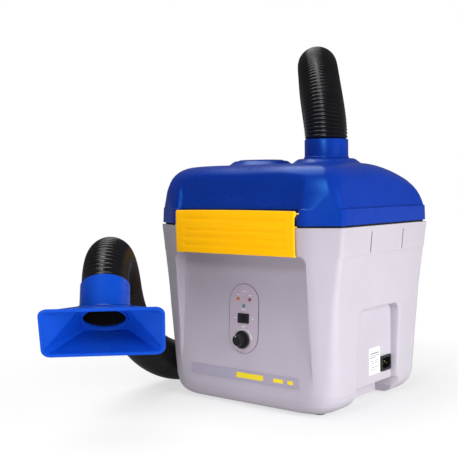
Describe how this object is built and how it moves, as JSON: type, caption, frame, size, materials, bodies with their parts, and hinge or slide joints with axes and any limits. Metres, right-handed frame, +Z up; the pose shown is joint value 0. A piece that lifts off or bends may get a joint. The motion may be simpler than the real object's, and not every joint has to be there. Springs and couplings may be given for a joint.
{
  "type": "solder fume extractor",
  "caption": "Bench-top solder fume extractor: tapered grey cabinet, blue domed lid with two duct ports, yellow latches, corrugated intake duct and a flared nozzle.",
  "frame": {"origin": "centre of the cabinet's footprint on the bench plane", "axes": "+X to the right seen from the control panel, -Y out of the front, +Z up"},
  "size_m": [0.5017, 0.765, 0.591],
  "materials": {
    "grey_shell": "fine satin texture",
    "dark_cover": "satin",
    "screws": "zinc plated",
    "feet": "matte",
    "blue_plastic": "semi gloss",
    "yellow_plastic": "satin",
    "steel": "ground",
    "black_plastic": "semi gloss",
    "duct": "glossy flexible",
    "overlay": "printed film",
    "label": "satin",
    "lamp_orange": "translucent",
    "lamp_red": "translucent",
    "lamp_green": "translucent",
    "brass": "plated",
    "sheet_steel": "galvanised",
    "filter_card": "raw",
    "filter_paper": "pleated",
    "filter_fleece": "lofted fleece",
    "inner_plastic": "moulded",
    "motor_case": "cast",
    "circuit_board": "solder mask",
    "lead_insulation": "insulated"
  },
  "bodies": {
    "cabinet": {"body_shell": "grey_shell", "base_cover": "dark_cover", "base_screws": "screws", "rubber_feet": "feet", "duct_lower": "duct", "panel_overlay": "overlay", "filter_lamp": "lamp_orange", "alarm_lamp": "lamp_red", "power_lamp": "lamp_green", "switch_housing": "black_plastic", "pot_body": "black_plastic", "pot_nut": "steel", "mains_inlet": "black_plastic", "inlet_pins": "brass", "rating_label": "label", "front_strip": "overlay", "filter_shelf": "sheet_steel", "filter_gasket": "feet", "main_filter_frame": "filter_card", "main_filter_media": "filter_paper", "pre_filter": "filter_fleece", "blower_scroll": "inner_plastic", "blower_screws": "screws", "motor": "motor_case", "motor_screws": "screws", "control_board": "circuit_board", "board_screws": "screws", "power_supply": "sheet_steel", "exhaust_grille": "black_plastic", "wiring": "lead_insulation"},
    "lid": {"lid_shell": "blue_plastic", "lid_gasket": "feet", "latch_pins": "steel", "duct_upper": "duct"},
    "front_latch": {"front_latch": "yellow_plastic"},
    "rear_latch": {"rear_latch": "yellow_plastic"},
    "collar": {"duct_collar": "blue_plastic"},
    "port_cap": {"port_cap": "blue_plastic"},
    "rotor": {"impeller": "inner_plastic", "motor_shaft": "steel"},
    "rocker": {"switch_rocker": "black_plastic"},
    "knob": {"speed_knob": "black_plastic", "pot_shaft": "steel"},
    "duct_link": {"duct_link": "duct"},
    "duct_arm": {"duct_arm": "duct"},
    "nozzle": {"nozzle": "blue_plastic"}
  },
  "joints": [
    {"name": "lid_lift", "type": "slide", "parent": "cabinet", "child": "lid", "axis": [0, 0, 1], "range_m": [0, 0.15]},
    {"name": "front_latch_hinge", "type": "hinge", "parent": "lid", "child": "front_latch", "pos_m": [0, -0.1575, 0.3015], "axis": [-1, 0, 0], "range_deg": [0, 100]},
    {"name": "rear_latch_hinge", "type": "hinge", "parent": "lid", "child": "rear_latch", "pos_m": [0, 0.1575, 0.3015], "axis": [1, 0, 0], "range_deg": [0, 100]},
    {"name": "collar_swivel", "type": "hinge", "parent": "lid", "child": "collar", "pos_m": [0.0656, 0, 0.4], "axis": [0, 0, 1], "range_deg": [-180, 180]},
    {"name": "port_cap_pull", "type": "slide", "parent": "lid", "child": "port_cap", "axis": [0, 0, 1], "range_m": [0, 0.04]},
    {"name": "impeller_spin", "type": "hinge", "parent": "cabinet", "child": "rotor", "pos_m": [0, 0.008, 0.15], "axis": [0, 0, 1], "continuous": true},
    {"name": "switch_rock", "type": "hinge", "parent": "cabinet", "child": "rocker", "pos_m": [0, -0.13541, 0.13795], "axis": [0, -0.0549, -0.9985], "range_deg": [0, 16]},
    {"name": "knob_turn", "type": "hinge", "parent": "cabinet", "child": "knob", "pos_m": [0, -0.13822, 0.105], "axis": [0, -0.9985, 0.0549], "range_deg": [-170, 130]},
    {"name": "duct_swing", "type": "hinge", "parent": "cabinet", "child": "duct_link", "pos_m": [-0.18535, -0.20466, 0.13072], "axis": [0, 0, 1], "range_deg": [-20, 20]},
    {"name": "duct_tilt", "type": "hinge", "parent": "duct_link", "child": "duct_arm", "pos_m": [-0.17936, -0.2256, 0.17596], "axis": [-0.785, -0.6195, 0], "range_deg": [-14, 14]},
    {"name": "nozzle_swivel", "type": "hinge", "parent": "duct_arm", "child": "nozzle", "pos_m": [-0.07511, -0.35769, 0.16145], "axis": [0.415, -0.4302, -0.8017], "range_deg": [-150, 150]}
  ]
}
